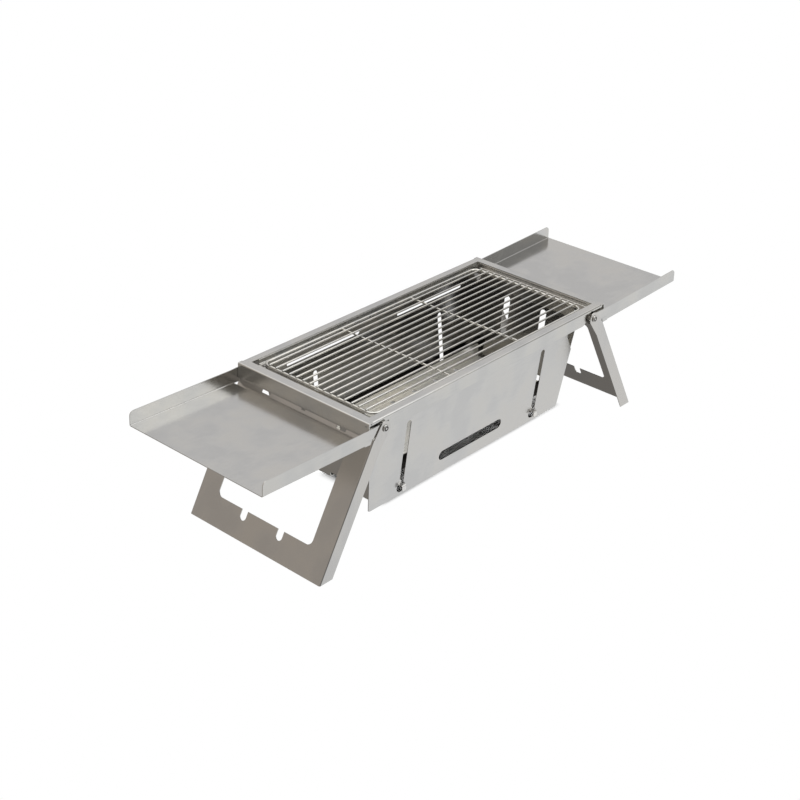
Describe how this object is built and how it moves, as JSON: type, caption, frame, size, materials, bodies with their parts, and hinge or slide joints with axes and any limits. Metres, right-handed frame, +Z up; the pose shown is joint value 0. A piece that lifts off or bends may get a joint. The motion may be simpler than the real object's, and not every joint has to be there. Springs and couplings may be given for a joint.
{
  "type": "folding camp grill",
  "caption": "Low stainless sheet grill with splayed folding legs, fold-over side tables, a hanging firebox with charcoal tray, and a lift-off wire grate.",
  "frame": {"origin": "on the ground, under the middle of the grill, with the legs splayed and the tables open", "axes": "+X along the length to the right table, +Y to the back, +Z up"},
  "size_m": [0.7906, 0.2276, 0.18],
  "materials": {
    "frame_sheet": "brushed stainless sheet",
    "table_sheet": "brushed stainless sheet, grain along the length",
    "leg_sheet": "brushed stainless sheet",
    "firebox_sheet": "brushed stainless sheet",
    "tray_sheet": "satin stainless sheet",
    "grate_wire": "polished stainless wire",
    "rivet_steel": "polished stainless rivets"
  },
  "bodies": {
    "frame": {"top_frame": "frame_sheet", "front_apron": "frame_sheet", "back_apron": "frame_sheet", "front_ledge": "frame_sheet", "back_ledge": "frame_sheet", "left_ledge": "frame_sheet", "right_ledge": "frame_sheet", "pivot_brackets": "frame_sheet", "pivot_rivets": "rivet_steel", "pivot_spacers": "rivet_steel", "pivot_washers": "rivet_steel"},
    "left_table": {"left_table": "table_sheet"},
    "right_table": {"right_table": "table_sheet"},
    "left_leg": {"left_leg": "leg_sheet"},
    "right_leg": {"right_leg": "leg_sheet"},
    "firebox": {"front_panel": "firebox_sheet", "back_panel": "firebox_sheet", "left_end_panel": "firebox_sheet", "right_end_panel": "firebox_sheet"},
    "tray": {"charcoal_tray": "tray_sheet", "tray_hooks": "tray_sheet"},
    "grate": {"grate_frame_wire": "grate_wire", "grate_rods": "grate_wire", "grate_crossbars": "grate_wire"}
  },
  "joints": [
    {"name": "left_table_fold", "type": "hinge", "parent": "frame", "child": "left_table", "pos_m": [-0.2035, 0, 0.1665], "axis": [0, 1, 0], "range_deg": [0, 176]},
    {"name": "right_table_fold", "type": "hinge", "parent": "frame", "child": "right_table", "pos_m": [0.2035, 0, 0.1665], "axis": [0, -1, 0], "range_deg": [0, 176]},
    {"name": "firebox_lift", "type": "slide", "parent": "frame", "child": "firebox", "axis": [0, 0, 1], "range_m": [0, 0.23]},
    {"name": "left_leg_fold", "type": "hinge", "parent": "frame", "child": "left_leg", "pos_m": [-0.2035, 0, 0.1665], "axis": [0, -1, 0], "range_deg": [0, 119]},
    {"name": "right_leg_fold", "type": "hinge", "parent": "frame", "child": "right_leg", "pos_m": [0.2035, 0, 0.1665], "axis": [0, 1, 0], "range_deg": [0, 119]},
    {"name": "tray_lift", "type": "slide", "parent": "firebox", "child": "tray", "axis": [0, 0, 1], "range_m": [0, 0.085]},
    {"name": "grate_lift", "type": "slide", "parent": "firebox", "child": "grate", "axis": [0, 0, 1], "range_m": [0, 0.1]}
  ],
  "couplings": [
    {"joint": "left_leg_fold", "follows": "firebox_lift", "rad_per_m": 9.02},
    {"joint": "right_leg_fold", "follows": "firebox_lift", "rad_per_m": 9.02}
  ]
}
